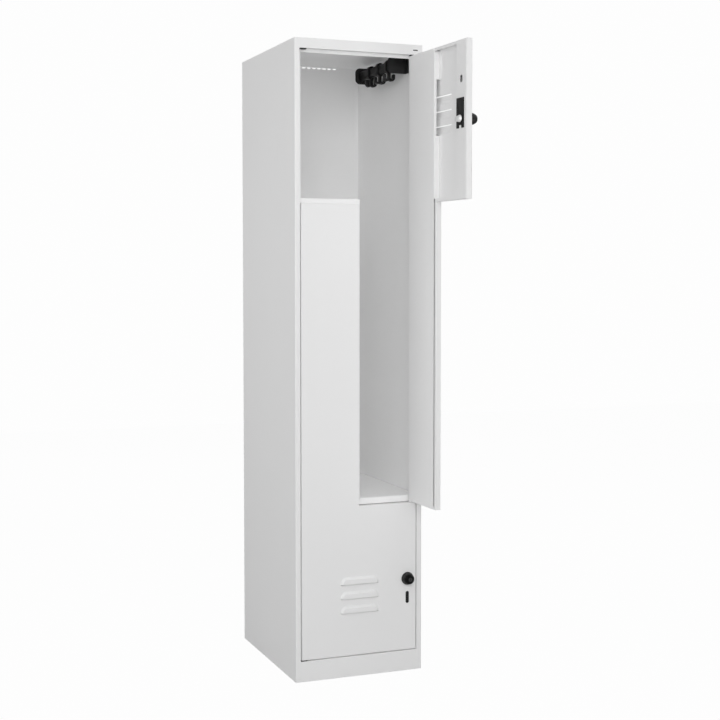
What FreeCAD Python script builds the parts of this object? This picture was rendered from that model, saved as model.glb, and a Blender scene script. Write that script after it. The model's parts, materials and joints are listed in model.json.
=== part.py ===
"""Two-person steel locker: a folded sheet carcass, a Z-shaped partition and two interlocking L-shaped doors.

Millimetres, +Z up, the front faces -Y, and the origin is on the floor at the middle of the footprint.
The upper door hangs on the right and stands open; the lower door hangs on the left and is closed.
The lower door is the upper one turned half a turn in its own plane.
"""
import FreeCAD, Part
import collections
import math
import os

# Carcass
width = 385.0
depth = 500.0
height = 1800.0
sheet = 1.0
bend_radius = 1.5
overrun = 2.0

# Front frame
stile_width = 15.0
header_height = 28.0
plinth_height = 60.0
frame_return = 6.0
jamb_depth = 20.0
stop_lip = 9.0
opening_edge_radius = 1.2
foot_flange = 32.0

# Side, roof, floor and back sheets
rear_flange = 15.0
tray_flange = 15.0
base_rail_height = 40.0
vent_count = 14
vent_pitch = 17.0
vent_length = 11.0
vent_height = 4.0
vent_drop = 5.0

# Partition
upper_shelf_rise = 13.5
lower_shelf_rise = 16.5
stop_arm_height = 30.0
stop_arm_half_width = 8.0

# Glides
glide_height = 2.0
glide_radius = 10.0
glide_inset = 18.0
glide_peg_radius = 4.0
glide_peg_height = 7.0

# Door pan
door_gap = 3.0
door_depth = 16.0
door_edge_radius = 2.0
door_hem = 7.5
wide_height = 424.0
step_lift = 4.0
open_angle = 92.0

# Door strip liner
liner_margin = 3.0
liner_width = 157.5
weld_flange = 10.0
liner_relief_depth = 9.0
liner_relief_rise = 22.0
liner_relief_length = 154.0

# Louvres
louvre_count = 3
louvre_width = 117.0
louvre_height = 21.0
louvre_rise = 4.5
louvre_ramp = 7.0
louvre_pitch = 41.0
louvre_corner = 19.0
upper_louvre_drop = 184.0
lower_louvre_drop = 174.5

# Hinge pins, bushes and lugs
pivot_inset = 8.0
pin_radius = 3.5
pin_fit = 0.05
pin_head_radius = 6.0
pin_head_height = 2.0
long_pin_reach = 8.0
bush_length = 20.0
bush_width = 13.0
bush_corner = 3.0
bush_clearance = 0.4
bush_barrel_radius = 5.5
bush_barrel_length = 9.0
lug_height = 2.0
lug_reach = 8.5
lug_front_inset = 2.0
short_pin_clearance = 0.8

# Lock
lock_inset = 26.5
lock_drop = 208.0
slot_offset = 55.0
slot_length = 35.5
slot_width = 10.5
lock_channel_width = 60.0
cutout_near = 13.5
cutout_far = 55.0
cutout_below = 24.5
cutout_above = 56.0
cutout_corner = 2.0
cutout_tab_width = 14.0
cutout_tab_height = 8.0
key_hole_inset = 31.0
key_hole_rise = 105.0
key_hole_width = 14.0
key_hole_length = 20.0
case_near = 5.0
case_far = 57.0
case_below = 29.0
case_above = 78.0
case_body_depth = 13.5
case_block_depth = 4.5
case_fit = 0.5
case_corner = 3.0
knob_hole_radius = 13.0
collar_radius = 18.5
collar_depth = 4.0
collar_edge = 1.5
collar_bore_radius = 12.2
knob_clearance = 0.3
knob_radius = 16.5
knob_face_radius = 10.0
knob_dish_radius = 8.2
knob_dish_depth = 2.5
knob_rim = 3.0
knob_depth = 20.5
knob_steps = 4
knob_shank_radius = 12.0
knob_flute_count = 8
knob_flute_radius = 4.5
knob_flute_bite = 1.4
plug_radius = 6.0
plug_depth = 8.0
plug_sink = 0.8
keyway_width = 2.4
keyway_length = 9.0
keyway_depth = 4.5
spindle_radius = 6.0
spindle_reach = 3.0
square_side = 7.0
cam_thickness = 3.0
cam_length = 26.0
cam_head_radius = 9.5
cam_tip_radius = 6.5
cam_screw_radius = 4.5
cam_screw_height = 2.0
screw_slot_width = 1.4
screw_slot_depth = 0.8

# Header screw
screw_inset = 22.5
screw_drop = 15.5
screw_radius = 7.0
screw_dome = 3.0
screw_shank_radius = 3.5
screw_shank_length = 8.0
header_slot_height = 3.0
header_slot_depth = 3.5

# Coat rails and hooks
rail_offset = 38.0
rail_drop = 40.5
rail_front_inset = 115.0
rail_rear_inset = 130.0
rail_height = 30.0
rail_thickness = 15.0
rail_wall = 1.5
bracket_thickness = 3.0
bracket_height = 49.0
bracket_nose = 21.0
bracket_corner = 15.0
bracket_foot = 20.0
hook_fit = 0.25
hook_wall = 5.0
hook_width = 14.0
hook_gap = 7.5
hook_arm = 6.5
hook_stem = 7.0
hook_hang = 12.0
hook_rise = 7.5
hook_first = 40.0
hook_pitch = 70.0
hook_names = ("front", "middle", "rear")

# Values worked out from the sizes above
front = -depth / 2
back = depth / 2
half_width = width / 2
base = glide_height
opening_half = half_width - stile_width
opening_low = plinth_height
opening_high = height - header_height
stop_front = front + jamb_depth
stop_back = stop_front + sheet
door_half = opening_half - door_gap
door_low = opening_low + door_gap
door_high = opening_high - door_gap
door_middle = (door_low + door_high) / 2
long_height = door_high - door_low - wide_height - door_gap
wide_low = door_high - wide_height
strip_low = door_high - long_height
strip_edge = door_gap / 2
upper_joint = wide_low + step_lift - door_gap / 2
lower_joint = strip_low + step_lift - door_gap / 2
door_back = front + door_depth
liner_back = door_back + sheet
pivot_x = door_half - pivot_inset
pivot_y = front + pivot_inset
lock_x = -door_half + lock_inset
lock_z = door_high - lock_drop
slot_z = lock_z + slot_offset
case_back = front + sheet + case_body_depth + case_block_depth
cam_front = case_back + spindle_reach
upper_shelf_top = upper_joint + upper_shelf_rise
lower_shelf_top = lower_joint + lower_shelf_rise
up = FreeCAD.Vector(0, 0, 1)
outward = FreeCAD.Vector(0, -1, 0)
centre = FreeCAD.Vector(0, 0, 0)
axes = {
    "plan": (FreeCAD.Vector(1, 0, 0), FreeCAD.Vector(0, 1, 0), FreeCAD.Vector(0, 0, 1)),
    "side": (FreeCAD.Vector(0, 1, 0), FreeCAD.Vector(0, 0, 1), FreeCAD.Vector(1, 0, 0)),
    "front": (FreeCAD.Vector(1, 0, 0), FreeCAD.Vector(0, 0, 1), FreeCAD.Vector(0, 1, 0)),
}
pieces = {}

# What differs between the two doors, each drawn as the upper door when it is closed
DoorForm = collections.namedtuple("DoorForm", "wide_low strip_low louvre_middle")
upper_form = DoorForm(wide_low + step_lift, strip_low + step_lift, door_high - upper_louvre_drop)
lower_form = DoorForm(wide_low - step_lift, strip_low - step_lift, door_high - lower_louvre_drop)


# Helpers that draw profiles and solids

def slab(x_low, x_high, y_low, y_high, z_low, z_high):
    corner = FreeCAD.Vector(x_low, y_low, z_low)
    return Part.makeBox(x_high - x_low, y_high - y_low, z_high - z_low, corner)


def rod(radius, start, end):
    return Part.makeCylinder(radius, (end - start).Length, start, end - start)


def in_plane(plane, first, second, level):
    along_first, along_second, normal = axes[plane]
    return along_first * first + along_second * second + normal * level


def extruded(plane, edges, low, high):
    face = Part.Face(Part.Wire(edges))
    return face.extrude(axes[plane][2] * (high - low))


def plate(plane, outline, low, high):
    corners = [in_plane(plane, first, second, low) for first, second in outline]
    polygon = Part.makePolygon(corners + corners[:1])
    return extruded(plane, polygon.Edges, low, high)


def heading(start, end):
    run = math.dist(start, end)
    return (end[0] - start[0]) / run, (end[1] - start[1]) / run


def rounded_edges(plane, corners, radii, level, closed):
    """The edges of a path whose corners are square and rounded by their own radii."""
    count = len(corners)
    joints = []
    for index in range(count):
        corner = corners[index]
        inner = closed or 0 < index < count - 1
        radius = radii[index] if inner else 0
        if radius == 0:
            joints.append((corner, None, corner))
            continue
        came = heading(corners[index - 1], corner)
        goes = heading(corner, corners[(index + 1) % count])
        start = (corner[0] - came[0] * radius, corner[1] - came[1] * radius)
        end = (corner[0] + goes[0] * radius, corner[1] + goes[1] * radius)
        middle = (start[0] + goes[0] * radius, start[1] + goes[1] * radius)
        lean = heading(middle, corner)
        crown = (middle[0] + lean[0] * radius, middle[1] + lean[1] * radius)
        joints.append((start, crown, end))
    edges = []
    for index in range(count):
        start, crown, end = joints[index]
        if crown:
            points = [in_plane(plane, *spot, level) for spot in (start, crown, end)]
            edges.append(Part.Arc(*points).toShape())
        if index < count - 1 or closed:
            next_start = joints[(index + 1) % count][0]
            if math.dist(end, next_start) > 0:
                run = [in_plane(plane, *spot, level) for spot in (end, next_start)]
                edges.append(Part.LineSegment(*run).toShape())
    return edges


def rounded_plate(plane, outline, radii, low, high):
    edges = rounded_edges(plane, outline, radii, low, True)
    return extruded(plane, edges, low, high)


def rounded_box(plane, low_corner, high_corner, radius, low, high):
    (first_low, second_low), (first_high, second_high) = low_corner, high_corner
    outline = [(first_low, second_low), (first_high, second_low)]
    outline += [(first_high, second_high), (first_low, second_high)]
    return rounded_plate(plane, outline, [radius] * len(outline), low, high)


def folded_sheet(plane, path, low, high):
    """A sheet folded square along a path, with its thickness to the right of the path."""
    offset = []
    near_radii = []
    far_radii = []
    for index, corner in enumerate(path):
        before = heading(path[index - 1], corner) if index > 0 else None
        after = heading(corner, path[index + 1]) if index < len(path) - 1 else None
        shifts = [way for way in (before, after) if way]
        offset.append((corner[0] + sheet * sum(way[1] for way in shifts),
                       corner[1] - sheet * sum(way[0] for way in shifts)))
        left_turn = before and after and before[0] * after[1] - before[1] * after[0] > 0
        near_radii.append(bend_radius if left_turn else bend_radius + sheet)
        far_radii.append(bend_radius + sheet if left_turn else bend_radius)
    edges = rounded_edges(plane, path, near_radii, low, False)
    edges += rounded_edges(plane, offset, far_radii, low, False)
    for near, far in ((path[0], offset[0]), (path[-1], offset[-1])):
        run = [in_plane(plane, *spot, low) for spot in (near, far)]
        edges.append(Part.LineSegment(*run).toShape())
    return extruded(plane, Part.__sortEdges__(edges), low, high)


def edges_on(shape, plane_y, inside=None):
    """The edges that lie wholly on one Y level, and inside a box if one is given."""
    found = []
    for edge in shape.Edges:
        box = edge.BoundBox
        level = max(abs(box.YMin - plane_y), abs(box.YMax - plane_y)) < pin_fit
        if level and (inside is None or inside.isInside(box.Center)):
            found.append(edge)
    return found


def oval(x, z, radius, straight, low, high):
    """An upright oval bar along Y: two half circles joined by straight sides."""
    half = straight / 2
    spots = [(x - radius, z - half), (x, z - half - radius), (x + radius, z - half)]
    spots += [(x + radius, z + half), (x, z + half + radius), (x - radius, z + half)]
    points = [in_plane("front", first, second, low) for first, second in spots]
    edges = [Part.Arc(*points[:3]).toShape(), Part.LineSegment(points[2], points[3]).toShape()]
    edges += [Part.Arc(*points[3:]).toShape(), Part.LineSegment(points[5], points[0]).toShape()]
    return extruded("front", edges, low, high)


def half_turn(shape):
    """The same shape turned half a turn in the plane of the doors."""
    turned = shape.copy()
    turned.rotate(FreeCAD.Vector(0, 0, door_middle), outward, 180)
    return turned


def swung_open(shape):
    """The same shape carried round the upper door's hinge to where the door stands open."""
    swung = shape.copy()
    swung.rotate(FreeCAD.Vector(pivot_x, pivot_y, 0), up, open_angle)
    return swung


# Carcass

def opening_box(grow, y_low, y_high):
    return slab(-opening_half - grow, opening_half + grow, y_low, y_high,
                opening_low - grow, opening_high + grow)


def bush_places():
    """Each bush's name, its pivot's X, the face that it sits on and which way is out of that face."""
    return (("header_right_bush", pivot_x, opening_high, -1),
            ("header_left_bush", -pivot_x, opening_high, -1),
            ("plinth_left_bush", -pivot_x, opening_low, 1))


def barrel(radius, x, face_z, out):
    start = FreeCAD.Vector(x, pivot_y, face_z)
    return rod(radius, start, start - up * (out * bush_barrel_length))


def glide_places():
    side = half_width - glide_inset
    rows = (front + glide_inset, back - glide_inset)
    return [FreeCAD.Vector(x, y, 0) for x in (-side, side) for y in rows]


def glide_pegs():
    top = up * (glide_height + glide_peg_height)
    return [rod(glide_peg_radius, place, place + top) for place in glide_places()]


def frame_members():
    """The outline of each welded frame member, cut along the mitres from the outer corners to the lip's."""
    rings = []
    for side, low, high in ((half_width, base, height), (opening_half, opening_low, opening_high),
                            (opening_half - stop_lip, opening_low + stop_lip, opening_high - stop_lip)):
        rings.append([(-side, low), (side, low), (side, high), (-side, high)])
    outlines = {}
    for index, name in enumerate(("frame_plinth", "frame_right_stile", "frame_header", "frame_left_stile")):
        after = (index + 1) % len(rings[0])
        mitre = [ring[index] for ring in rings]
        outlines[name] = mitre + [ring[after] for ring in reversed(rings)]
    return outlines


def make_front_frame():
    """The whole punched and folded front, before it is divided into its members."""
    path = [(half_width, front + frame_return), (half_width, front)]
    path += [(-half_width, front), (-half_width, front + frame_return)]
    frame = folded_sheet("plan", path, base, height)
    jamb = opening_box(sheet, front, stop_back)
    lip_hole = opening_box(-stop_lip, front - overrun, stop_back + overrun)
    frame = frame.fuse(jamb)
    frame = frame.cut(opening_box(0, front - overrun, stop_front))
    frame = frame.cut(lip_hole)
    foot = slab(-half_width + sheet, half_width - sheet, front + sheet, front + foot_flange,
                base, base + sheet)
    frame = frame.fuse(foot).removeSplitter()
    rim = FreeCAD.BoundBox(-opening_half - sheet, front - sheet, opening_low - sheet,
                           opening_half + sheet, front + sheet, opening_high + sheet)
    frame = frame.makeFillet(opening_edge_radius, edges_on(frame, front, rim))
    holes = [barrel(bush_barrel_radius, x, face, out) for _, x, face, out in bush_places()]
    holes += glide_pegs()
    holes.append(header_screw_shank())
    return frame.cut(Part.makeCompound(holes))


def make_side_panel():
    path = [(-half_width, front + frame_return), (-half_width, back - sheet)]
    path.append((-half_width + rear_flange, back - sheet))
    return folded_sheet("plan", path, base, height)


def make_back_panel():
    panel = slab(-half_width, half_width, back - sheet, back, base, height)
    row_z = height - vent_drop
    slots = []
    for index in range(vent_count):
        x = (index - (vent_count - 1) / 2) * vent_pitch
        slots.append(slab(x - vent_length / 2, x + vent_length / 2, back - overrun, back + overrun,
                          row_z - vent_height / 2, row_z + vent_height / 2))
    return panel.cut(slots)


def fitted_sheet(path, y_low):
    """A folded sheet that runs to the back panel and is notched round the side panels' rear flanges."""
    run = folded_sheet("front", path, y_low, back - sheet)
    side = make_side_panel()
    notch = slab(-half_width, -half_width + rear_flange, back - 2 * sheet, back, 0, height)
    for cutter in (side, notch):
        run = run.cut([cutter, cutter.mirror(centre, FreeCAD.Vector(1, 0, 0))])
    return run


def tray_path(level):
    side = half_width - sheet
    return [(-side, level - tray_flange), (-side, level), (side, level), (side, level - tray_flange)]


def make_top_panel():
    return fitted_sheet(tray_path(height), front + sheet)


def make_floor_panel():
    return fitted_sheet(tray_path(opening_low), stop_back)


def make_rear_base_rail():
    inner = back - 2 * sheet
    side = half_width - sheet
    path = [(inner, base + base_rail_height), (inner, base), (inner - foot_flange, base)]
    rail = folded_sheet("side", path, -side, side)
    side_panel = make_side_panel()
    rail = rail.cut([side_panel, side_panel.mirror(centre, FreeCAD.Vector(1, 0, 0))])
    return rail.cut(Part.makeCompound(glide_pegs()))


def make_z_partition():
    side = half_width - sheet
    path = [(-side, upper_shelf_top - tray_flange), (-side, upper_shelf_top)]
    path += [(sheet / 2, upper_shelf_top), (sheet / 2, lower_shelf_top)]
    path += [(side, lower_shelf_top), (side, lower_shelf_top - tray_flange)]
    return fitted_sheet(path, stop_back)


def make_partition_front_frame():
    reach = opening_half - stop_lip
    arm = stop_arm_half_width
    lower_edge = lower_joint + door_gap / 2
    upper_edge = upper_shelf_top - stop_arm_height
    outline = [(-reach, upper_shelf_top), (arm, upper_shelf_top), (arm, lower_shelf_top)]
    outline += [(reach, lower_shelf_top), (reach, lower_edge), (-arm, lower_edge)]
    outline += [(-arm, upper_edge), (-reach, upper_edge)]
    return plate("front", outline, stop_front, stop_back)


def make_floor_glides():
    glides = []
    for place, peg in zip(glide_places(), glide_pegs()):
        pad = rod(glide_radius, place, place + up * glide_height)
        glides.append(pad.fuse(peg).removeSplitter())
    return Part.makeCompound(glides)


def make_bush(x, face_z, out):
    flange_depth = door_gap - bush_clearance
    half_length = bush_length / 2
    half_depth = bush_width / 2
    levels = sorted((face_z, face_z + out * flange_depth))
    flange = rounded_box("plan", (x - half_length, pivot_y - half_depth),
                         (x + half_length, pivot_y + half_depth), bush_corner, *levels)
    bush = flange.fuse(barrel(bush_barrel_radius, x, face_z, out)).removeSplitter()
    start = FreeCAD.Vector(x, pivot_y, face_z + out * (flange_depth + overrun))
    end = FreeCAD.Vector(x, pivot_y, face_z - out * (bush_barrel_length + overrun))
    return bush.cut(rod(pin_radius + pin_fit, start, end))


def make_door_lug(joint):
    """The steel lug in a joint between the doors that carries the end of a door's strip."""
    low = joint - lug_height / 2
    outline = [(pivot_x - lug_reach, front + lug_front_inset), (opening_half, front + lug_front_inset)]
    outline += [(opening_half, stop_front), (pivot_x - lug_reach, stop_front)]
    nose = pivot_inset - lug_front_inset
    lug = rounded_plate("plan", outline, [nose, 0, 0, 0], low, low + lug_height)
    start = FreeCAD.Vector(pivot_x, pivot_y, low - overrun)
    hole = rod(pin_radius + pin_fit, start, start + up * (lug_height + 2 * overrun))
    return lug.cut(hole)


def header_screw_place():
    return FreeCAD.Vector(half_width - screw_inset, front, height - screw_drop)


def header_screw_shank():
    place = header_screw_place()
    return rod(screw_shank_radius, place, place - outward * screw_shank_length)


def make_header_screw():
    """A round head with one slot across it, on a shank that fills its hole in the header."""
    place = header_screw_place()
    ball_radius = (screw_radius ** 2 + screw_dome ** 2) / (2 * screw_dome)
    ball = Part.makeSphere(ball_radius, place - outward * (ball_radius - screw_dome))
    head = ball.common(rod(screw_radius, place, place + outward * (screw_dome + overrun)))
    slot_floor = front - screw_dome + header_slot_depth
    half = header_slot_height / 2
    slot = slab(place.x - screw_radius, place.x + screw_radius, front - screw_dome - overrun, slot_floor,
                place.z - half, place.z + half)
    return head.fuse(header_screw_shank()).cut(slot).removeSplitter()


def make_carcass():
    side_panel = make_side_panel()
    frame = make_front_frame()
    for name, outline in frame_members().items():
        pieces[name] = frame.common(plate("front", outline, front - overrun, front + foot_flange + overrun))
    pieces["left_side_panel"] = side_panel
    pieces["right_side_panel"] = side_panel.mirror(centre, FreeCAD.Vector(1, 0, 0))
    pieces["back_panel"] = make_back_panel()
    pieces["top_panel"] = make_top_panel().cut(frame)
    pieces["floor_panel"] = make_floor_panel()
    pieces["rear_base_rail"] = make_rear_base_rail()
    pieces["z_partition"] = make_z_partition()
    pieces["partition_front_frame"] = make_partition_front_frame()
    pieces["floor_glides"] = make_floor_glides()
    for name, x, face_z, out in bush_places():
        pieces[name] = make_bush(x, face_z, out)
    pieces["upper_door_lug"] = make_door_lug(lower_joint)
    pieces["lower_door_lug"] = half_turn(make_door_lug(2 * door_middle - upper_joint))
    pieces["header_screw"] = make_header_screw()


# Coat rails with sliding double hooks

def make_rail(x, z, y_low, y_high):
    radius = rail_thickness / 2
    straight = rail_height - rail_thickness
    tube = oval(x, z, radius, straight, y_low, y_high)
    return tube.cut(oval(x, z, radius - rail_wall, straight, y_low - overrun, y_high + overrun))


def make_bracket(x, z, wall_x, rail_end, out):
    """A folded steel bracket: a nose plate at the rail's end and a foot welded to the side wall."""
    inward = math.copysign(1, x - wall_x)
    half = bracket_height / 2
    nose = x + inward * bracket_nose
    outline = [(nose, z - half), (wall_x, z - half), (wall_x, z + half), (nose, z + half)]
    radii = [bracket_corner, 0, 0, bracket_corner]
    levels = sorted((rail_end, rail_end + out * bracket_thickness))
    nose_plate = rounded_plate("front", outline, radii, *levels)
    foot_x = sorted((wall_x, wall_x + inward * bracket_thickness))
    foot_y = sorted((rail_end, rail_end + out * bracket_foot))
    return nose_plate.fuse(slab(*foot_x, *foot_y, z - half, z + half)).removeSplitter()


def make_hook(x, z, y):
    """A collar that slides on the rail, with a stem and an upturned arm on each side below it."""
    low = y - hook_width / 2
    high = y + hook_width / 2
    straight = rail_height - rail_thickness
    bore = rail_thickness / 2 + hook_fit
    collar_low = z - rail_height / 2 - hook_fit - hook_wall
    bend_z = collar_low - hook_hang
    hook = oval(x, z, bore + hook_wall, straight, low, high)
    half_stem = hook_stem / 2
    hook = hook.fuse(slab(x - half_stem, x + half_stem, low, high, bend_z, collar_low + hook_wall))
    inner = hook_gap / 2
    outer = inner + hook_arm
    for side in (-1, 1):
        bend_x = x + side * (half_stem + inner)
        start = FreeCAD.Vector(bend_x, low, bend_z)
        end = FreeCAD.Vector(bend_x, high, bend_z)
        ring = rod(outer, start, end).cut(rod(inner, start, end))
        ring = ring.cut(slab(bend_x - outer, bend_x + outer, low, high, bend_z, bend_z + outer))
        arm_x = bend_x + side * (inner + hook_arm / 2)
        arm = slab(arm_x - hook_arm / 2, arm_x + hook_arm / 2, low, high, bend_z, bend_z + hook_rise)
        tip = rod(hook_arm / 2, FreeCAD.Vector(arm_x, low, bend_z + hook_rise),
                  FreeCAD.Vector(arm_x, high, bend_z + hook_rise))
        hook = hook.fuse([ring, arm, tip])
    return hook.cut(oval(x, z, bore, straight, low - overrun, high + overrun)).removeSplitter()


def make_coat_rail(prefix, side, ceiling):
    wall_x = side * (half_width - sheet)
    x = wall_x - side * rail_offset
    z = ceiling - rail_drop
    rail_front = front + rail_front_inset
    rail_back = back - rail_rear_inset
    pieces[prefix + "_coat_rail"] = make_rail(x, z, rail_front, rail_back)
    pieces[prefix + "_rail_front_bracket"] = make_bracket(x, z, wall_x, rail_front, -1)
    pieces[prefix + "_rail_rear_bracket"] = make_bracket(x, z, wall_x, rail_back, 1)
    for index, name in enumerate(hook_names):
        y = rail_front + hook_first + index * hook_pitch
        pieces[prefix + "_coat_hook_" + name] = make_hook(x, z, y)


# Doors, drawn as the upper door when it is closed

def door_outline(form, inset):
    free = -door_half + inset
    hinge = door_half - inset
    strip = strip_edge + inset
    top = door_high - inset
    step = form.wide_low + inset
    foot = form.strip_low + inset
    return [(free, top), (hinge, top), (hinge, foot), (strip, foot), (strip, step), (free, step)]


def louvre_edges(low, inset, level):
    """The outline of a louvre that opens upwards, drawn in from its closed sides by an inset."""
    half = louvre_width / 2 - inset
    mouth = low + louvre_height
    corners = [(-half, mouth), (half, mouth), (half, low + inset), (-half, low + inset)]
    corner = louvre_corner - inset
    return rounded_edges("front", corners, [0, 0, corner, corner], level, True)


def louvre_solid(low, level):
    """A pressed scoop that slopes up from a level on its three closed sides to a flat crown."""
    foot = Part.Wire(louvre_edges(low, 0, level))
    crown = Part.Wire(louvre_edges(low, louvre_ramp, level - louvre_rise))
    return Part.makeLoft([foot, crown], True, True)


def make_door_pan(form):
    """The L-shaped folded pan with its louvres, lock hole, slot and pin holes."""
    outer = plate("front", door_outline(form, 0), front, door_back)
    outer = outer.makeFillet(door_edge_radius, edges_on(outer, front))
    inner = plate("front", door_outline(form, sheet), front + sheet, door_back - sheet)
    inner = inner.makeFillet(door_edge_radius - sheet, edges_on(inner, front + sheet))
    mouth = plate("front", door_outline(form, sheet + door_hem), front + sheet, door_back + overrun)
    pan = outer.cut(inner).cut(mouth)
    for index in range(louvre_count):
        low = form.louvre_middle + (index - (louvre_count - 1) / 2) * louvre_pitch - louvre_height / 2
        pan = pan.fuse(louvre_solid(low, front)).cut(louvre_solid(low, front + sheet))
    half_depth = door_depth / 2
    knob_hole = rod(knob_hole_radius, on_lock_axis(front - overrun), on_lock_axis(front + half_depth))
    slot = oval(lock_x, slot_z, slot_width / 2, slot_length - slot_width, front - overrun, front + half_depth)
    pin_hole = rod(pin_radius + pin_fit, FreeCAD.Vector(pivot_x, pivot_y, form.strip_low - overrun),
                   FreeCAD.Vector(pivot_x, pivot_y, door_high + overrun))
    return pan.cut([knob_hole, slot, pin_hole]).removeSplitter()


def strip_zone(form):
    """The space that holds the strip alone, up to the step of the L."""
    return slab(-door_half, door_half, front - overrun, door_back, form.strip_low, form.wide_low)


def make_strip_liner(form):
    wall_x = door_half - liner_margin - liner_width
    hinge_side = door_half - liner_margin
    weld_y = front + 2 * sheet
    low = form.wide_low + sheet + door_hem
    high = door_high - sheet - door_hem
    path = [(wall_x - weld_flange, weld_y), (wall_x, weld_y), (wall_x, liner_back), (hinge_side, liner_back)]
    liner = folded_sheet("plan", path, low, high)
    margin = liner_margin / 2
    face_x = wall_x + sheet + bend_radius
    for start, bottom, top in ((wall_x, form.strip_low + margin, form.wide_low),
                               (face_x, form.wide_low, low), (face_x, high, door_high - margin)):
        liner = liner.fuse(slab(start, hinge_side, door_back, liner_back, bottom, top))
    relief_low = form.louvre_middle + liner_relief_rise - liner_relief_length / 2
    relief = slab(wall_x - weld_flange - overrun, wall_x + sheet + overrun, front + sheet,
                  front + sheet + liner_relief_depth, relief_low, relief_low + liner_relief_length)
    return liner.removeSplitter().cut(relief)


def lock_tab(grow, y_low, y_high):
    """The small upright tab at the foot of the cut-out that locates the lock case."""
    middle = -door_half + (cutout_near + cutout_far) / 2
    half = cutout_tab_width / 2 + grow
    low = lock_z - cutout_below
    return slab(middle - half, middle + half, y_low, y_high, low - overrun, low + cutout_tab_height + grow)


def make_lock_channel(form):
    free_side = -door_half + liner_margin
    wall_x = -door_half + lock_channel_width
    weld_y = front + 2 * sheet
    low = form.wide_low + sheet + door_hem
    high = door_high - sheet - door_hem
    path = [(free_side, liner_back), (wall_x, liner_back), (wall_x, weld_y), (wall_x + weld_flange, weld_y)]
    channel = folded_sheet("plan", path, low, high)
    margin = liner_margin / 2
    face_end = wall_x - sheet - bend_radius
    for bottom, top in ((form.wide_low + margin, low), (high, door_high - margin)):
        channel = channel.fuse(slab(free_side, face_end, door_back, liner_back, bottom, top))
    cutout = rounded_box("front", (-door_half + cutout_near, lock_z - cutout_below),
                         (-door_half + cutout_far, lock_z + cutout_above), cutout_corner,
                         door_back - sheet, liner_back + overrun)
    cutout = cutout.cut(lock_tab(0, door_back - 2 * sheet, liner_back + 2 * overrun))
    key_hole = oval(-door_half + key_hole_inset, lock_z + key_hole_rise, key_hole_width / 2,
                    key_hole_length - key_hole_width, door_back - sheet, liner_back + overrun)
    return channel.removeSplitter().cut([cutout, key_hole])


def make_long_pin():
    """The headed pin that stands up out of the door's top edge into the bush."""
    seat = FreeCAD.Vector(pivot_x, pivot_y, door_high - sheet)
    head = rod(pin_head_radius, seat - up * pin_head_height, seat)
    tip = FreeCAD.Vector(pivot_x, pivot_y, opening_high + long_pin_reach)
    return head.fuse(rod(pin_radius, seat - up * pin_head_height, tip)).removeSplitter()


def make_short_pin(form):
    """The headed pin at the strip's foot, just long enough to fill the lug in the joint."""
    seat = FreeCAD.Vector(pivot_x, pivot_y, form.strip_low + sheet)
    head = rod(pin_head_radius, seat, seat + up * pin_head_height)
    lug_foot = form.strip_low - (door_gap + lug_height) / 2
    tip = FreeCAD.Vector(pivot_x, pivot_y, lug_foot + short_pin_clearance)
    return head.fuse(rod(pin_radius, seat + up * pin_head_height, tip)).removeSplitter()


def on_lock_axis(y):
    return FreeCAD.Vector(lock_x, y, lock_z)


def make_lock_case():
    body_back = front + sheet + case_body_depth
    case = rounded_box("front", (-door_half + case_near, lock_z - case_below),
                       (-door_half + case_far, lock_z + case_above), case_corner, front + sheet, body_back)
    block = rounded_box("front", (-door_half + cutout_near + case_fit, lock_z - cutout_below + case_fit),
                        (-door_half + cutout_far - case_fit, lock_z + cutout_above - case_fit),
                        cutout_corner, body_back, case_back)
    bore = rod(spindle_radius + pin_fit, on_lock_axis(front - overrun), on_lock_axis(case_back + overrun))
    notch = lock_tab(case_fit, body_back, case_back + overrun)
    return case.fuse(block).cut([bore, notch]).removeSplitter()


def make_lock_collar():
    ring = rod(collar_radius, on_lock_axis(front), on_lock_axis(front - collar_depth))
    ring = ring.makeChamfer(collar_edge, edges_on(ring, front - collar_depth))
    return ring.cut(rod(collar_bore_radius, on_lock_axis(front + overrun),
                        on_lock_axis(front - collar_depth - overrun)))


def knob_dome(seat, top):
    """A turned grip: a straight rim, then short cones that follow an arc in to the flat face."""
    crown = seat - knob_rim
    inset = knob_radius - knob_face_radius
    arc_radius = (inset ** 2 + (crown - top) ** 2) / (2 * inset)
    sweep = math.asin((crown - top) / arc_radius)
    spots = [(0, seat), (knob_radius, seat)]
    for index in range(knob_steps + 1):
        angle = sweep * index / knob_steps
        spots.append((knob_radius - arc_radius * (1 - math.cos(angle)), crown - arc_radius * math.sin(angle)))
    spots.append((0, top))
    points = [FreeCAD.Vector(lock_x + first, second, lock_z) for first, second in spots]
    return Part.Face(Part.makePolygon(points + points[:1])).revolve(points[0], outward, 360)


def make_lock_knob():
    """A fluted dome on a shank, with the spindle that runs through the case to the cam."""
    seat = front - collar_depth - knob_clearance
    top = seat - knob_depth
    grip = knob_dome(seat, top)
    reach = knob_radius + knob_flute_radius - knob_flute_bite
    flutes = []
    for index in range(knob_flute_count):
        angle = 2 * math.pi * index / knob_flute_count
        aside = FreeCAD.Vector(reach * math.cos(angle), 0, reach * math.sin(angle))
        flutes.append(rod(knob_flute_radius, on_lock_axis(seat + overrun) + aside,
                          on_lock_axis(top - overrun) + aside))
    grip = grip.cut(flutes)
    shank = rod(knob_shank_radius, on_lock_axis(seat), on_lock_axis(front + sheet))
    spindle = rod(spindle_radius, on_lock_axis(seat), on_lock_axis(cam_front))
    half = square_side / 2
    square = slab(lock_x - half, lock_x + half, cam_front, cam_front + cam_thickness,
                  lock_z - half, lock_z + half)
    knob = grip.fuse([shank, spindle, square])
    bore = rod(plug_radius + pin_fit, on_lock_axis(top - overrun), on_lock_axis(top + plug_depth))
    dish = rod(knob_dish_radius, on_lock_axis(top - overrun), on_lock_axis(top + knob_dish_depth))
    return knob.cut([bore, dish]).removeSplitter()


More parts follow.
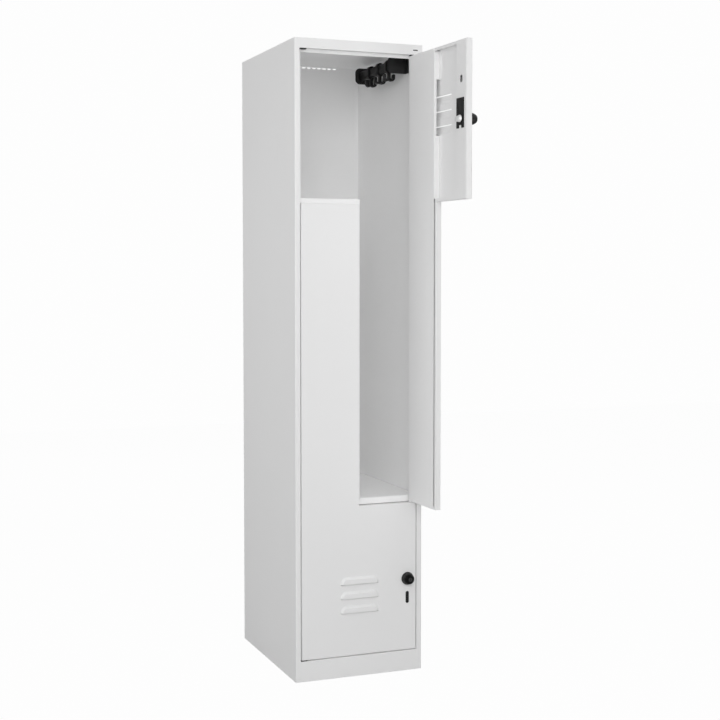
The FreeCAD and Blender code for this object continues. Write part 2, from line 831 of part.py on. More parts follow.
def make_lock_plug():
    top = front - collar_depth - knob_clearance - knob_depth
    face = top + plug_sink
    plug = rod(plug_radius, on_lock_axis(face), on_lock_axis(top + plug_depth))
    half = keyway_width / 2
    keyway = slab(lock_x - half, lock_x + half, face - overrun, face + keyway_depth,
                  lock_z - keyway_length / 2, lock_z + keyway_length / 2)
    return plug.cut(keyway)


def make_lock_cam():
    """A tapered cam that points away from the free edge, which is its unlocked place."""
    low = cam_front
    high = cam_front + cam_thickness
    tip_x = lock_x + cam_length - cam_tip_radius
    spread = math.acos((cam_head_radius - cam_tip_radius) / (tip_x - lock_x))
    lean = (math.cos(spread), math.sin(spread))
    points = []
    for centre_x, radius, far in ((lock_x, cam_head_radius, -1), (tip_x, cam_tip_radius, 1)):
        points.append([(centre_x + radius * lean[0], lock_z + radius * lean[1]),
                       (centre_x + far * radius, lock_z),
                       (centre_x + radius * lean[0], lock_z - radius * lean[1])])
    head, tip = [[in_plane("front", *spot, low) for spot in spots] for spots in points]
    edges = [Part.Arc(*head).toShape(), Part.LineSegment(head[2], tip[2]).toShape()]
    edges += [Part.Arc(*tip[::-1]).toShape(), Part.LineSegment(tip[0], head[0]).toShape()]
    cam = extruded("front", edges, low, high)
    half = square_side / 2
    return cam.cut(slab(lock_x - half, lock_x + half, low - overrun, high + overrun,
                        lock_z - half, lock_z + half))


def make_cam_screw():
    seat = cam_front + cam_thickness
    head = rod(cam_screw_radius, on_lock_axis(seat), on_lock_axis(seat + cam_screw_height))
    half = screw_slot_width / 2
    return head.cut(slab(lock_x - cam_screw_radius, lock_x + cam_screw_radius,
                         seat + cam_screw_height - screw_slot_depth, seat + cam_screw_height + overrun,
                         lock_z - half, lock_z + half))


def make_door(prefix, form, placed):
    pan = make_door_pan(form)
    strip = strip_zone(form)
    shapes = {
        "door_panel": pan.cut(strip),
        "door_strip": pan.common(strip),
        "door_strip_liner": make_strip_liner(form),
        "door_lock_channel": make_lock_channel(form),
        "door_long_pin": make_long_pin(),
        "door_short_pin": make_short_pin(form),
        "lock_case": make_lock_case(),
        "lock_collar": make_lock_collar(),
        "lock_knob": make_lock_knob(),
        "lock_plug": make_lock_plug(),
        "lock_cam": make_lock_cam(),
        "cam_screw": make_cam_screw(),
    }
    for name, shape in shapes.items():
        pieces[prefix + "_" + name] = placed(shape)


make_carcass()
make_coat_rail("upper", 1, height - sheet)
make_coat_rail("lower", -1, upper_shelf_top - sheet)
make_door("upper", upper_form, swung_open)
make_door("lower", lower_form, half_turn)

os.makedirs("parts", exist_ok=True)
for name, shape in pieces.items():
    shape.exportStep(os.path.join("parts", name + ".step"))
    box = shape.BoundBox
    print(name, len(shape.Solids), "solids", shape.isValid(), round(shape.Volume), "mm3",
          [round(value, 1) for value in (box.XMin, box.XMax, box.YMin, box.YMax, box.ZMin, box.ZMax)])
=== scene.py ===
# %% [markdown]
# # A steel locker for two people
# The object is a tall cabinet of folded sheet steel, coated in white powder paint. Two L-shaped doors
# interlock: the upper one stands open in the picture, the lower one is shut. The large shapes come from
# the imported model, in metres, so this lesson is about finishes, rounded edges, light and camera.

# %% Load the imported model
import json
import math

import bmesh
import bpy
from mathutils import Matrix, Vector


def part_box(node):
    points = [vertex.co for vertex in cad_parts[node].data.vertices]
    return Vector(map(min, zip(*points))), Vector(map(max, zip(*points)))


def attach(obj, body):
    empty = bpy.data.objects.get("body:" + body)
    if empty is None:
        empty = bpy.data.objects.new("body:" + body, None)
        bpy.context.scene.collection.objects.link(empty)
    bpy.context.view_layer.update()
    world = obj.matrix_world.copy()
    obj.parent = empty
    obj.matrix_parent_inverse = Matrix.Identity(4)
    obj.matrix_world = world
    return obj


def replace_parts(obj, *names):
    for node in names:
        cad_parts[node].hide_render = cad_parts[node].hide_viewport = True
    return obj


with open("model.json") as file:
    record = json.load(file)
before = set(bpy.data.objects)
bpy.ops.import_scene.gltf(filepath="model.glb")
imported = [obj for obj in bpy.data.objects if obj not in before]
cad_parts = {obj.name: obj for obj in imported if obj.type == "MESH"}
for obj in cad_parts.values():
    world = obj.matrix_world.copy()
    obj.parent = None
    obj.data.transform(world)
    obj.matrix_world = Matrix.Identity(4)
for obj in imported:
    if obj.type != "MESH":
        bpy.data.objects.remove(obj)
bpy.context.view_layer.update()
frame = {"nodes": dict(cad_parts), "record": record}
nodes = frame["nodes"]
record = frame["record"]
scene = bpy.context.scene
body_of = {node: body for body, group in record["behaviour"]["bodies"].items() for node in group}

# %% [markdown]
# ## Writing shaders as sums
# A finish is a graph of nodes. Linking them by hand hides the idea, so one small class wraps a socket and
# lets Python's operators add the Math nodes. `add` puts in any other node: its settings first, then the
# values or links of its sockets.

# %% The class that wraps a socket
class Flow:
    def __init__(self, tree, socket=None):
        self.tree = tree
        self.socket = socket

    def add(self, kind, settings=None, inputs=None, output=0):
        node = self.tree.nodes.new(kind)
        for name, value in (settings or {}).items():
            setattr(node, name, value)
        for name, value in (inputs or {}).items():
            if isinstance(value, Flow):
                self.tree.links.new(value.socket, node.inputs[name])
            else:
                node.inputs[name].default_value = value
        return Flow(self.tree, node.outputs[output])

    def maths(self, operation, *values):
        return self.add("ShaderNodeMath", {"operation": operation}, dict(enumerate(values)))

    def __add__(self, other):
        return self.maths("ADD", self, other)

    def __sub__(self, other):
        return self.maths("SUBTRACT", self, other)

    def __mul__(self, other):
        return self.maths("MULTIPLY", self, other)

    def __truediv__(self, other):
        return self.maths("DIVIDE", self, other)

    def __rsub__(self, other):
        return self.maths("SUBTRACT", other, self)

    __radd__ = __add__
    __rmul__ = __mul__

    def clamped(self):
        return self.add("ShaderNodeClamp", None, {"Value": self})


print("one class, operators + - * /")

# %% [markdown]
# A few short helpers cover most of a finish: a noise pattern, a stretch of its contrast, a grey between two
# tones, a bump, and the distance from a place. Patterns read Object coordinates, and every object sits at
# the origin, so they are true to size: a scale of 600 means about 600 grains to the metre.

# %% Patterns
# a Mix node has a Result for each kind of value, and the third is the colour
mixed_colour = 2


def noise(where, scale, detail=2.0, roughness=0.5):
    sockets = {"Vector": where, "Scale": scale, "Detail": detail, "Roughness": roughness}
    return where.add("ShaderNodeTexNoise", None, sockets)


def stretched(where, scales):
    """Coordinates scaled by axis, for patterns that run one way."""
    return where.add("ShaderNodeMapping", None, {"Vector": where, "Scale": scales})


def contrast(value, low, high):
    """Stretches a value so that low becomes 0 and high becomes 1."""
    return ((value - low) / (high - low)).clamped()


def grey(tone):
    return (tone, tone, tone, 1)


def tint(start, end, amount):
    """A grey between two tones."""
    sockets = {"Factor": amount, "A": grey(start), "B": grey(end)}
    return amount.add("ShaderNodeMix", {"data_type": "RGBA"}, sockets, output=mixed_colour)


def bumped(height, strength, depth):
    return height.add("ShaderNodeBump", None, {"Strength": strength, "Distance": depth, "Height": height})


def along_axis(where, axis):
    return where.add("ShaderNodeSeparateXYZ", None, {"Vector": where}, output=axis)


def distance_from(where, point):
    settings = {"operation": "DISTANCE"}
    return where.add("ShaderNodeVectorMath", settings, {0: where, 1: tuple(point)}, output="Value")


print("pattern helpers ready")

# %% [markdown]
# Each finish starts from an empty material with one Principled shader. What is the same all over is set on
# the shader's own socket, and what changes over the surface is linked.

# %% A blank finish
coat_ior = 1.5
finishes = {}


def blank_finish(name, **constants):
    material = bpy.data.materials.new(name)
    material.use_nodes = True
    tree = material.node_tree
    shader = tree.nodes["Principled BSDF"]
    for socket, value in constants.items():
        shader.inputs[socket.replace("_", " ")].default_value = value
    finishes[name] = material
    return shader, Flow(tree).add("ShaderNodeTexCoord", output="Object")


def plug_in(shader, **flows):
    for socket, flow in flows.items():
        flow.tree.links.new(flow.socket, shader.inputs[socket.replace("_", " ")])


def middle_of(node):
    low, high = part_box(node)
    return (low + high) / 2


print("blank finish ready")

# %% [markdown]
# ## White powder paint
# The steel is sprayed with dry white powder and baked. The coat is tough and half matt, with a fine ripple
# called orange peel: bumps a millimetre or two across and a few hundredths deep. It could be painted as
# an image, but noise needs no picture and never repeats. Handling shows mostly in the sheen, so wear goes
# into the roughness: soft smudges everywhere, more of them where hands reach for the knob, and faint
# streaks where shoes and mops touch the foot. A value that ends in `shading` says how far a pattern moves
# the colour from its first tone to its second, and one that ends in `polish` how far it smooths the coat.

# %% Measures of the paint
paint_light = 0.915
paint_shade = 0.885
paint_gloss = 0.30
paint_roughness = 0.52
drifts_per_metre = 2.2
drift_shading = 0.8

ripple_per_metre = 620
grain_per_metre = 2600
ripple_share = 0.75
ripple_strength = 0.30
ripple_depth = 0.00012
ripple_roughness = 0.06
ripple_size = (1000 / ripple_per_metre, 1000 * ripple_depth * ripple_strength)
print("ripples across and deep, in mm:", [round(value, 3) for value in ripple_size])

# %% Measures of its wear
smudges_per_metre = 14
smudge_limits = (0.47, 0.72)
smudge_share = 0.5
prints_per_metre = 55
print_limits = (0.42, 0.66)
reach_of_hand = 0.16
palm = 0.02
handled_shading = 0.18
handled_polish = 0.09

foot_height = 0.11
streak_scales = (34.0, 34.0, 150.0)
streak_limits = (0.56, 0.74)
streak_roughness = 0.15
print("finger prints up to", reach_of_hand, "m from a knob, streaks up to", foot_height, "m from the floor")

# %% The paint
def powder_paint(name, touch_points=()):
    shader, where = blank_finish(name, IOR=coat_ior, Specular_IOR_Level=paint_gloss)
    ripple = noise(where, ripple_per_metre, detail=1.5)
    grain = noise(where, grain_per_metre, detail=1.0)
    smudges = noise(where, smudges_per_metre, detail=5.0, roughness=0.62)
    handled = smudge_share * contrast(smudges, *smudge_limits)
    for point in touch_points:
        near = contrast(distance_from(where, point), reach_of_hand, palm)
        handled = handled + near * contrast(noise(where, prints_per_metre, detail=4.0), *print_limits)
    handled = handled.clamped()
    foot = contrast(along_axis(where, "Z"), foot_height, 0.0)
    streaks = foot * contrast(noise(stretched(where, streak_scales), 1.0, detail=4.0), *streak_limits)
    drift = noise(where, drifts_per_metre)
    shading = drift * drift_shading + handled * handled_shading
    roughness = paint_roughness + ripple * ripple_roughness + streaks * streak_roughness
    peel = ripple * ripple_share + grain * (1 - ripple_share)
    plug_in(shader, Base_Color=tint(paint_light, paint_shade, shading),
            Roughness=roughness - handled * handled_polish,
            Normal=bumped(peel, ripple_strength, ripple_depth))
    return shader, where


powder_paint("shell_paint")
for door in ("upper", "lower"):
    powder_paint(door + "_door_paint", [middle_of(door + "_lock_collar")])
print("paints:", sorted(finishes))

# %% [markdown]
# The header's screw is sprayed with the frame. The shade at the bottom of its slot is painted into the
# colour as a near-black tone, broken a little by noise. A mask by place finds the slot: every point close to
# the screw's middle in height lies inside it.

# %% The screw's paint, with painted shade in its slot
slot_half_height = 0.0015
slot_fade = 0.0002
slot_shade_tone = 0.012
slot_shade_noise_share = 0.1


def screw_paint():
    shader, where = powder_paint("screw_paint")
    off_middle = along_axis(where, "Z") - middle_of("header_screw").z
    off_middle = off_middle.maths("ABSOLUTE", off_middle)
    inside = contrast(off_middle, slot_half_height + slot_fade, slot_half_height)
    slot_shade_noise = noise(where, grain_per_metre)
    # painted shade: the slot is coloured near black where shade falls in it, with a little noise
    painted_slot_shade = inside * (1 - slot_shade_noise_share + slot_shade_noise * slot_shade_noise_share)
    plug_in(shader, Base_Color=tint(paint_light, slot_shade_tone, painted_slot_shade))


screw_paint()
print("screw head at", [round(value, 3) for value in middle_of("header_screw")])

# %% [markdown]
# ## Black plastic and black steel
# The hinge bushes and glides are nylon, matt from the mould. The hooks are the same plastic with a little
# more sheen. One function makes them all: a fine moulded grain in the bump, soft clouds of tone, and worn
# spots that are smoother than the rest.

# %% Black plastics
plastic_gloss = 0.20
mould_strength = 0.35
mould_roughness = 0.10
worn_and_sheen_per_metre = 130
worn_limits = (0.55, 0.75)
worn_lift = 1.9
worn_shading = 0.4
worn_polish = 0.08
clouds_per_metre = 45
cloud_shading = 0.5


def black_plastic(name, tone, rough, grains, depth):
    shader, where = blank_finish(name, IOR=coat_ior, Specular_IOR_Level=plastic_gloss)
    grain = noise(where, grains, detail=3.0, roughness=0.6)
    worn = contrast(noise(where, worn_and_sheen_per_metre, detail=4.0, roughness=0.65), *worn_limits)
    cloud = noise(where, clouds_per_metre, detail=3.0)
    lift = cloud * cloud_shading + worn * worn_shading
    plug_in(shader, Base_Color=tint(tone, tone * worn_lift, lift),
            Roughness=rough + grain * mould_roughness - worn * worn_polish,
            Normal=bumped(grain, mould_strength, depth))
    return shader, where


# name, tone, roughness, grains to the metre, depth of the grain
plastic_table = (
    ("bush_nylon", 0.012, 0.52, 2200, 0.00006),
    ("glide_nylon", 0.020, 0.58, 1800, 0.00008),
    ("hook_plastic", 0.009, 0.46, 2600, 0.00005),
    ("case_plastic", 0.005, 0.50, 2000, 0.00006),
)
for row in plastic_table:
    black_plastic(*row)
print("plastics:", [row[0] for row in plastic_table])

# %% [markdown]
# The knob's grip is painted a lighter grey, a painted sheen for light caught on its side, while its sunken
# face stays deep black. The tone therefore follows the distance from the knob's own axis, which the latch
# joint gives: a cross product with the axis has the length of that distance.

# %% Knob plastic
knob_face_tone = 0.003
# painted sheen: the lighter grey of the grip's side
knob_grip_sheen_tone = 0.044
knob_gloss = 0.06
knob_roughness = 0.36
knob_grain_per_metre = 2800
knob_grain_depth = 0.00003
sheen_least = 0.7
sheen_spread = 0.6
face_radius = 0.0138
grip_radius = 0.0165
joints = {joint["name"]: joint for joint in record["behaviour"]["joints"]}


def distance_from_axis(where, point, axis):
    away = where.add("ShaderNodeVectorMath", {"operation": "SUBTRACT"}, {0: where, 1: tuple(point)})
    across = where.add("ShaderNodeVectorMath", {"operation": "CROSS_PRODUCT"}, {0: away, 1: tuple(axis)})
    return where.add("ShaderNodeVectorMath", {"operation": "LENGTH"}, {0: across}, output="Value")


def knob_plastic(door):
    shader, where = black_plastic(door + "_knob_plastic", knob_face_tone, knob_roughness,
                                  knob_grain_per_metre, knob_grain_depth)
    shader.inputs["Specular IOR Level"].default_value = knob_gloss
    joint = joints[door + "_latch_turn"]
    grip = contrast(distance_from_axis(where, joint["pos_m"], joint["axis"]), face_radius, grip_radius)
    # painted sheen: the grip's side is coloured lighter grey, broken by noise, for light that catches it
    painted_grip_sheen = grip * (sheen_least + sheen_spread * noise(where, worn_and_sheen_per_metre, detail=4.0))
    plug_in(shader, Base_Color=tint(knob_face_tone, knob_grip_sheen_tone, painted_grip_sheen.clamped()))


for door in ("upper", "lower"):
    knob_plastic(door)
print("knob axes:", [joints[door + "_latch_turn"]["axis"] for door in ("upper", "lower")])

# %% [markdown]
# Rails and brackets are steel under black powder, rubbed smoother along the path of the hooks. The rub
# marks are a noise stretched along the rail, so they run front to back.

# %% Black rail paint
rail_tone = 0.010
rail_gloss = 0.22
rail_roughness = 0.50
rail_grain_per_metre = 1500
rail_grain_strength = 0.3
rail_grain_depth = 0.00008
rail_grain_roughness = 0.10
rail_grain_shading = 0.2
rub_scales = (900.0, 14.0, 900.0)
rub_limits = (0.50, 0.72)
rub_tone = 0.028
rub_shading = 0.6
rub_polish = 0.16


def rail_paint():
    shader, where = blank_finish("rail_paint", IOR=coat_ior, Specular_IOR_Level=rail_gloss)
    rubs = contrast(noise(stretched(where, rub_scales), 1.0, detail=3.0), *rub_limits)
    grain = noise(where, rail_grain_per_metre)
    shading = rubs * rub_shading + grain * rail_grain_shading
    plug_in(shader, Base_Color=tint(rail_tone, rub_tone, shading),
            Roughness=rail_roughness + grain * rail_grain_roughness - rubs * rub_polish,
            Normal=bumped(grain, rail_grain_strength, rail_grain_depth))


rail_paint()
print("rail paint ready")

# %% [markdown]
# ## Zinc and dark steel
# Cams, their screws and the pins are plated with zinc, which sets in small patches of slightly different
# grey, so the colour follows a cell pattern and the bump follows fine scratches. The key plugs are dark
# steel with a grain too fine to show as lines.

# %% Zinc
zinc_dark = 0.70
zinc_light = 0.94
zinc_roughness = 0.38
patches_per_metre = 420
patch_softness = 0.6
patch_shading = 0.8
zinc_clouds_per_metre = 160
zinc_cloud_shading = 0.3
zinc_cloud_roughness = 0.16
scratch_scales = (300.0, 300.0, 4200.0)
scratch_limits = (0.52, 0.70)
scratch_share = 0.6
scratch_polish = 0.06
scratch_strength = 0.2
scratch_depth = 0.00004


def zinc_plate():
    shader, where = blank_finish("zinc", Metallic=1.0)
    cells = {"Vector": where, "Scale": patches_per_metre, "Smoothness": patch_softness}
    patch = where.add("ShaderNodeTexVoronoi", {"feature": "SMOOTH_F1"}, cells)
    cloud = noise(where, zinc_clouds_per_metre, detail=3.0)
    scratch = contrast(noise(stretched(where, scratch_scales), 1.0), *scratch_limits)
    shading = patch * patch_shading + cloud * zinc_cloud_shading
    relief = scratch * scratch_share + patch * (1 - scratch_share)
    plug_in(shader, Base_Color=tint(zinc_dark, zinc_light, shading),
            Roughness=zinc_roughness + cloud * zinc_cloud_roughness - scratch * scratch_polish,
            Normal=bumped(relief, scratch_strength, scratch_depth))


zinc_plate()
print("zinc patches", round(1000 / patches_per_metre, 1), "mm across")

# %% Dark steel of the key plugs
plug_dark = 0.025
plug_light = 0.075
plug_roughness = 0.28
plug_clouds_per_metre = 240
plug_grain_per_metre = 1900
plug_grain_roughness = 0.14
plug_grain_strength = 0.2
plug_grain_depth = 0.00003


def plug_steel():
    shader, where = blank_finish("plug_steel", Metallic=1.0)
    grain = noise(where, plug_grain_per_metre, detail=3.0)
    cloud = noise(where, plug_clouds_per_metre)
    plug_in(shader, Base_Color=tint(plug_dark, plug_light, cloud),
            Roughness=plug_roughness + grain * plug_grain_roughness,
            Normal=bumped(grain, plug_grain_strength, plug_grain_depth))


plug_steel()
print("finishes:", len(finishes))

# %% [markdown]
# ## Dressing the nodes
# A node's name says what it is made of, so a short list of words picks its finish. The first word that
# fits wins, and everything else is painted sheet.

# %% Give every node its finish
finish_words = (
    ("bush", "bush_nylon"), ("glides", "glide_nylon"), ("hook", "hook_plastic"),
    ("coat_rail", "rail_paint"), ("bracket", "rail_paint"),
    ("lock_case", "case_plastic"), ("lock_plug", "plug_steel"),
    ("upper_lock_knob", "upper_knob_plastic"), ("upper_lock_collar", "upper_knob_plastic"),
    ("lower_lock_knob", "lower_knob_plastic"), ("lower_lock_collar", "lower_knob_plastic"),
    ("lock_cam", "zinc"), ("cam_screw", "zinc"), ("_pin", "zinc"), ("header_screw", "screw_paint"),
    ("upper_door_panel", "upper_door_paint"), ("lower_door_panel", "lower_door_paint"),
)


def finish_for(node):
    names = [finish for word, finish in finish_words if word in node]
    return finishes[(names + ["shell_paint"])[0]]


for node, shape in nodes.items():
    shape.data.materials.clear()
    shape.data.materials.append(finish_for(node))
print("dressed", len(nodes), "nodes")

# %% [markdown]
# ## Rounded edges on the hardware
# Moulded plastic, stamped steel and turned parts have no knife edges: each edge is rounded a little and
# catches a thin line of light. A Bevel modifier could do it, but it can't tell a real edge from the seam
# between two facets. So a copy of the node is merged, its flat faces are joined, and only edges that turn
# by more than a limit are bevelled. The copy then stands for the node and rides on its body.

# %% A rounded copy of a node
merge_distance = 0.000001
flat_angle = math.radians(0.5)
edge_angle = math.radians(35)
smooth_angle = math.radians(40)


def merged_copy(node):
    shape = bmesh.new()
    shape.from_mesh(nodes[node].data)
    bmesh.ops.remove_doubles(shape, verts=shape.verts, dist=merge_distance)
    bmesh.ops.dissolve_limit(shape, angle_limit=flat_angle, verts=shape.verts, edges=shape.edges)
    return shape


def edges_that_turn(shape, least, most=math.pi):
    return [edge for edge in shape.edges if edge.is_manifold and least < edge.calc_face_angle() < most]


def round_off(shape, edges, width, segments):
    bmesh.ops.bevel(shape, geom=edges, offset=width, offset_type="OFFSET", segments=segments, profile=0.5,
                    affect="EDGES", clamp_overlap=True, material=-1)


def add_piece(name, shape, like):
    """Puts a finished shape in the scene, with the finish and the body of a node."""
    data = bpy.data.meshes.new(name)
    shape.to_mesh(data)
    shape.free()
    data.materials.append(finish_for(like))
    piece = bpy.data.objects.new(name, data)
    scene.collection.objects.link(piece)
    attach(piece, body_of[like])
    return piece


def stand_for(node, shape):
    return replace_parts(add_piece(node + "_rounded", shape, node), node)


def smoothed(piece):
    piece.data.shade_smooth()
    piece.data.set_sharp_from_angle(angle=smooth_angle)
    return piece


def rounded(node, width, segments):
    shape = merged_copy(node)
    round_off(shape, edges_that_turn(shape, edge_angle), width, segments)
    return smoothed(stand_for(node, shape))


print("edges that turn by more than", round(math.degrees(edge_angle)), "degrees are rounded")

# %% Round the hardware
# word in the node's name, width of the bevel, segments
rounding_table = (
    ("hook", 0.0012, 3), ("bracket", 0.0006, 2), ("coat_rail", 0.0004, 2), ("bush", 0.0006, 2),
    ("lug", 0.0004, 2), ("lock_case", 0.0008, 2), ("lock_collar", 0.0005, 2), ("lock_knob", 0.0010, 3),
    ("lock_plug", 0.0003, 2), ("lock_cam", 0.0005, 2), ("cam_screw", 0.0003, 2), ("_pin", 0.0005, 2),
    ("glides", 0.0006, 2),
)
rounded_pieces = []
for node in nodes:
    for word, width, segments in rounding_table:
        if word in node:
            rounded_pieces.append(rounded(node, width, segments))
            break
print("rounded", len(rounded_pieces), "pieces,", sum(len(p.data.polygons) for p in rounded_pieces), "faces")

# %% [markdown]
# ## The header's screw
# A round-head screw is turned, then slotted right across. The head is a short arc spun into a dome, cut by
# two planes so that a slot stays open between its halves, and set on a thin disc that makes the floor of
# the slot. The arc is that of a ball: its radius follows from the head's width and height.

# %% Turn and slot the head
arc_steps = 6
turn_steps = 40
slot_floor = 0.0005


def turned_dome(radius, height):
    """An arc of a ball, spun into a closed dome that stands on the plane Y = 0 and faces -Y."""
    ball = (radius ** 2 + height ** 2) / (2 * height)
    sweep = math.asin(radius / ball)
    dome = bmesh.new()
    angles = [sweep * step / arc_steps for step in range(arc_steps + 1)]
    arc = [dome.verts.new((ball * math.sin(a), ball - height - ball * math.cos(a), 0)) for a in angles]
    arc.append(dome.verts.new((0, 0, 0)))
    edges = [dome.edges.new(pair) for pair in zip(arc, arc[1:])]
    bmesh.ops.spin(dome, geom=arc + edges, cent=(0, 0, 0), axis=(0, 1, 0), angle=2 * math.pi,
                   steps=turn_steps, use_merge=True)
    bmesh.ops.remove_doubles(dome, verts=dome.verts, dist=merge_distance)
    bmesh.ops.recalc_face_normals(dome, faces=dome.faces)
    return dome


def half_dome(radius, height, side):
    """What is left of the dome on one side of the slot, closed along its cut."""
    half = turned_dome(radius, height)
    everything = half.verts[:] + half.edges[:] + half.faces[:]
    cut = bmesh.ops.bisect_plane(half, geom=everything, plane_co=(0, 0, side * slot_half_height),
                                 plane_no=(0, 0, side), clear_inner=True)["geom_cut"]
    rim = [item for item in cut if isinstance(item, bmesh.types.BMEdge)]
    bmesh.ops.holes_fill(half, edges=rim)
    data = bpy.data.meshes.new("screw_half")
    half.to_mesh(data)
    half.free()
    return data


def screw_head(radius, height):
    """Both halves on a thin disc, which is the floor of the slot."""
    head = bmesh.new()
    disc_turn = Matrix.Rotation(math.pi / 2, 4, "X") @ Matrix.Translation((0, 0, slot_floor / 2))
    bmesh.ops.create_cone(head, cap_ends=True, segments=turn_steps, radius1=radius, radius2=radius,
                          depth=slot_floor, matrix=disc_turn)
    for side in (1, -1):
        data = half_dome(radius, height, side)
        head.from_mesh(data)
        bpy.data.meshes.remove(data)
    return head


print("a full turn in", turn_steps, "steps")

# %% Set the head on the header
header_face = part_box("frame_header")[0].y
screw_low, screw_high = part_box("header_screw")
head = screw_head((screw_high.z - screw_low.z) / 2, header_face - screw_low.y)
head_place = middle_of("header_screw")
head_place.y = header_face
bmesh.ops.translate(head, verts=head.verts, vec=head_place)
screw = smoothed(stand_for("header_screw", head))
print("screw head", [round(1000 * value, 1) for value in screw.dimensions], "mm")

# %% [markdown]
# ## Louvres pressed into the doors
# A louvre is slit along one side and pushed out by a die, so its foot and crown bend softly into the sheet
# while the slit stays crisp and gapes a little, which shows as a dark line. The solid has plain creases
# there. A new louvre would only copy the solid's, so its own edges are bevelled. They turn by about a third
# of a right angle, unlike the folds and cut edges, and lie near the middle of the door: that picks them out.

# %% Soften the creases and open the slits
crease_least = math.radians(12)
crease_most = math.radians(60)
louvre_reach = 0.064
hem_reach = 0.060
crease_width = 0.0016
crease_steps = 3
small_face = 0.00015
level_least = 0.99
slit_gap = 0.0015


def near_louvres(item, low, high):
    place = sum((vert.co for vert in item.verts), Vector()) / len(item.verts)
    aside = (place - (low + high) / 2).xy.length
    return aside < louvre_reach and low.z + hem_reach < place.z < high.z - hem_reach


def open_slits(shape, low, high):
    """Draws the sheet's edge, a level face with four corners, back from the lip of each louvre."""
    level = [face for face in shape.faces if abs(face.normal.z) > level_least and len(face.verts) == 4]
    for face in [face for face in level if near_louvres(face, low, high)]:
        bmesh.ops.translate(shape, verts=face.verts, vec=face.normal * -slit_gap)


def soften_louvres(node):
    low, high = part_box(node)
    shape = merged_copy(node)
    open_slits(shape, low, high)
    creases = edges_that_turn(shape, crease_least, crease_most)
    creases = [edge for edge in creases if near_louvres(edge, low, high)]
    round_off(shape, creases, crease_width, crease_steps)
    for face in shape.faces:
        face.smooth = face.calc_area() < small_face
    return stand_for(node, shape), len(creases)


for door in ("upper", "lower"):
    piece, count = soften_louvres(door + "_door_panel")
    print(piece.name, "has", count, "softened creases and", len(piece.data.polygons), "faces")

# %% [markdown]
# ## The rolled front of the lower shelf
# The shelf's front edge is rolled over in a soft curve, so it shades from the flat top to the upright lip
# without a line. It could be cut from the solids, but a strip laid over them is simpler: three points of
# its side view, the corner rounded by a bevel, drawn out along the shelf and given a thickness.

# %% The rolled edge
shelf_flange = 0.015
roll_stand = 0.0015
roll_radius = 0.0055
roll_depth = 0.012
roll_thickness = 0.0008
roll_steps = 8
roll_drop = 0.002
roll_start = -0.002
roll_end = 0.157

lip_low, lip_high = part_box("partition_front_frame")
roll_front = lip_low.y - roll_stand
roll_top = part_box("z_partition")[0].z + shelf_flange + roll_stand


def rolled_edge():
    shape = bmesh.new()
    foot = lip_low.z - roll_drop
    profile = ((lip_high.y + roll_depth, roll_top), (roll_front, roll_top), (roll_front, foot))
    points = [shape.verts.new((roll_start, *place)) for place in profile]
    edges = [shape.edges.new(pair) for pair in zip(points, points[1:])]
    drawn = bmesh.ops.extrude_edge_only(shape, edges=edges)["geom"]
    far = [item for item in drawn if isinstance(item, bmesh.types.BMVert)]
    bmesh.ops.translate(shape, verts=far, vec=(roll_end - roll_start, 0.0, 0.0))
    bmesh.ops.recalc_face_normals(shape, faces=shape.faces)
    if sum(face.normal.y for face in shape.faces) > 0:
        bmesh.ops.reverse_faces(shape, faces=shape.faces)
    corner = [edge for edge in shape.edges if len(edge.link_faces) == 2]
    round_off(shape, corner, roll_radius, roll_steps)
    bmesh.ops.solidify(shape, geom=shape.faces[:], thickness=roll_thickness)
    return shape


print("shelf top at", round(roll_top, 4), "m, its lip", round(roll_top - lip_low.z, 4), "m high")

# %% Lay it on the shelf
roll = smoothed(add_piece("lower_shelf_roll", rolled_edge(), "z_partition"))
print("rolled edge", [round(value, 4) for value in roll.dimensions])

# %% [markdown]
# ## Floor and surround
# The picture is a studio shot on white. The floor and the sky show white to the camera and in reflections,
# but light the object as a mid-grey floor and a dim sky would. Brighter lamps would whiten them too, but
# would wash out the object. The floor keeps a little of its own shading, so the shadow at the foot stays.

# %% White for the rays that are seen
def seen_rays(tree):
    rays = Flow(tree).add("ShaderNodeLightPath").socket.node.outputs
    kinds = [Flow(tree, rays[name]) for name in ("Is Camera Ray", "Is Glossy Ray", "Is Transmission Ray")]
    return kinds[0].maths("MAXIMUM", kinds[0], kinds[1].maths("MAXIMUM", kinds[1], kinds[2]))


def white_over(tree, plain, white_kind, strength, share, output):
    """Lays plain white over a shader for the rays that are seen, and plugs the two into the output."""
    white = Flow(tree).add(white_kind, None, {"Color": grey(1.0), "Strength": strength})
    mixed = Flow(tree).add("ShaderNodeMixShader", None, {0: seen_rays(tree) * share, 1: plain, 2: white})
    tree.links.new(mixed.socket, tree.nodes[output].inputs["Surface"])


print("white shows to camera, glossy and transmission rays")

# %% Floor
floor_half = 6.0
floor_tone = 0.53
floor_roughness = 0.9
floor_grain_per_metre = 300
floor_grain_strength = 0.1
floor_grain_depth = 0.0001
floor_white = 1.0
floor_white_share = 0.975

floor_shape = bmesh.new()
bmesh.ops.create_grid(floor_shape, x_segments=1, y_segments=1, size=floor_half)
floor_data = bpy.data.meshes.new("floor")
floor_shape.to_mesh(floor_data)
floor_shape.free()
floor = bpy.data.objects.new("floor", floor_data)
scene.collection.objects.link(floor)
floor_constants = {"Base_Color": grey(floor_tone), "Roughness": floor_roughness}
floor_shader, floor_where = blank_finish("pale_floor", **floor_constants)
floor_grain = noise(floor_where, floor_grain_per_metre)
plug_in(floor_shader, Normal=bumped(floor_grain, floor_grain_strength, floor_grain_depth))
floor_tree = floor_where.tree
floor_flow = Flow(floor_tree, floor_shader.outputs[0])
white_over(floor_tree, floor_flow, "ShaderNodeEmission", floor_white, floor_white_share, "Material Output")
floor_data.materials.append(finishes["pale_floor"])
print("floor", 2 * floor_half, "m square")

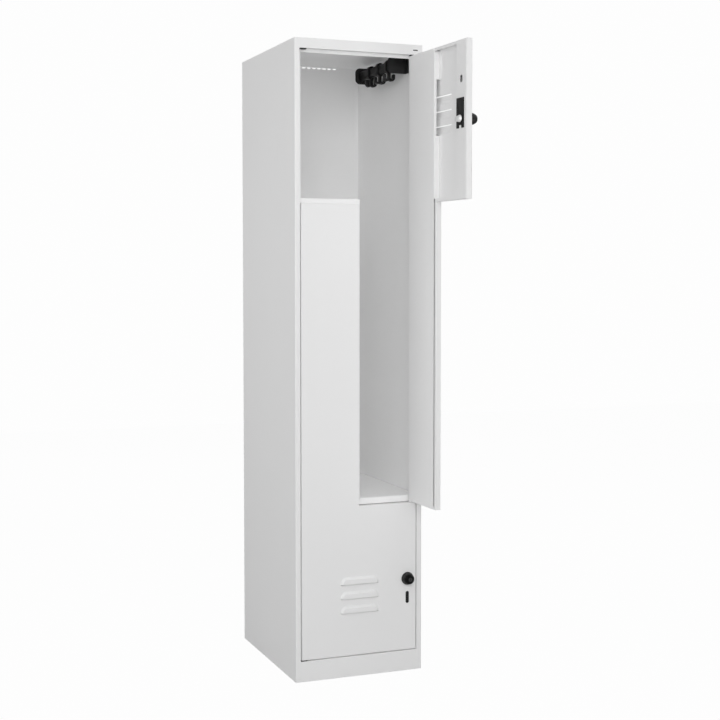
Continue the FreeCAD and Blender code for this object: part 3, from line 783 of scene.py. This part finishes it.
# %% Sky
sky_strength = 0.21
sky_white = 0.985
sky_white_share = 1.0

world = bpy.data.worlds.new("studio")
scene.world = world
world.use_nodes = True
sky = world.node_tree.nodes["Background"]
sky.inputs["Color"].default_value = grey(1.0)
sky.inputs["Strength"].default_value = sky_strength
sky_flow = Flow(world.node_tree, sky.outputs[0])
white_over(world.node_tree, sky_flow, "ShaderNodeBackground", sky_white, sky_white_share, "World Output")
print("sky strength", sky_strength)

# %% [markdown]
# ## Light
# The front of the locker is a tone lighter than its left side, and both are brightest near the top. So the
# strongest soft box stands near the camera, above head height. A small one stands lower at the front, and
# weaker ones on the left and above fill in. Two more behind and to the right keep the other sides readable.
# White walls pass light on many times, so the inside needs more bounces than Blender's usual four.

# %% Soft boxes
light_bounces = 24
diffuse_bounces = 16
aim_middle = 1.0
aim_low = 0.6
# name, place, height that it aims at, size, power in watts
box_table = (
    ("key_box", (-2.4, -3.0, 3.4), aim_middle, (2.4, 2.4), 17.0),
    ("left_box", (-2.4, -3.0, 1.3), aim_middle, (2.0, 1.6), 7.8),
    ("fill_box", (-1.3, -4.2, 2.1), aim_middle, (1.8, 2.2), 49.0),
    ("low_box", (0.7, -3.0, 1.2), aim_low, (1.2, 0.7), 10.5),
    ("side_box", (-2.2, 0.0, 1.3), aim_middle, (1.2, 1.0), 10.4),
    ("over_box", (0.2, -2.2, 4.2), aim_middle, (2.4, 2.4), 19.0),
    ("right_box", (3.6, 0.8, 2.4), aim_middle, (2.6, 2.6), 34.0),
    ("rear_box", (0.4, 4.4, 2.4), aim_middle, (3.0, 2.6), 34.0),
)


def soft_box(name, place, aim, size, power):
    lamp = bpy.data.lights.new(name, "AREA")
    lamp.shape = "RECTANGLE"
    lamp.size, lamp.size_y = size
    lamp.energy = power
    box = bpy.data.objects.new(name, lamp)
    box.location = place
    box.rotation_euler = (Vector((0.0, 0.0, aim)) - Vector(place)).to_track_quat("-Z", "Y").to_euler()
    scene.collection.objects.link(box)


for row in box_table:
    soft_box(*row)
scene.cycles.max_bounces = light_bounces
scene.cycles.diffuse_bounces = diffuse_bounces
print("soft boxes:", [row[0] for row in box_table])

# %% [markdown]
# ## Camera
# The camera stands to the left of the locker at chest height. A real photographer would use a shift lens to
# keep the uprights parallel; a little of that shift is kept and the rest is a small tilt downwards.

# %% Camera
camera_place = (-1.4051, -3.8020, 1.1658)
camera_turn = math.radians(21.595)
camera_tilt = math.radians(2.959)
camera_lens = 67.67
camera_sensor = 36.0
camera_shift = -0.03

camera_data = bpy.data.cameras.new("camera")
camera_data.sensor_width = camera_sensor
camera_data.lens = camera_lens
camera_data.shift_y = camera_shift
camera = bpy.data.objects.new("camera", camera_data)
camera.location = camera_place
camera.rotation_euler = (math.pi / 2 - camera_tilt, 0.0, -camera_turn)
scene.collection.objects.link(camera)
scene.camera = camera
scene.view_settings.view_transform = "Standard"
print("camera at", camera_place)
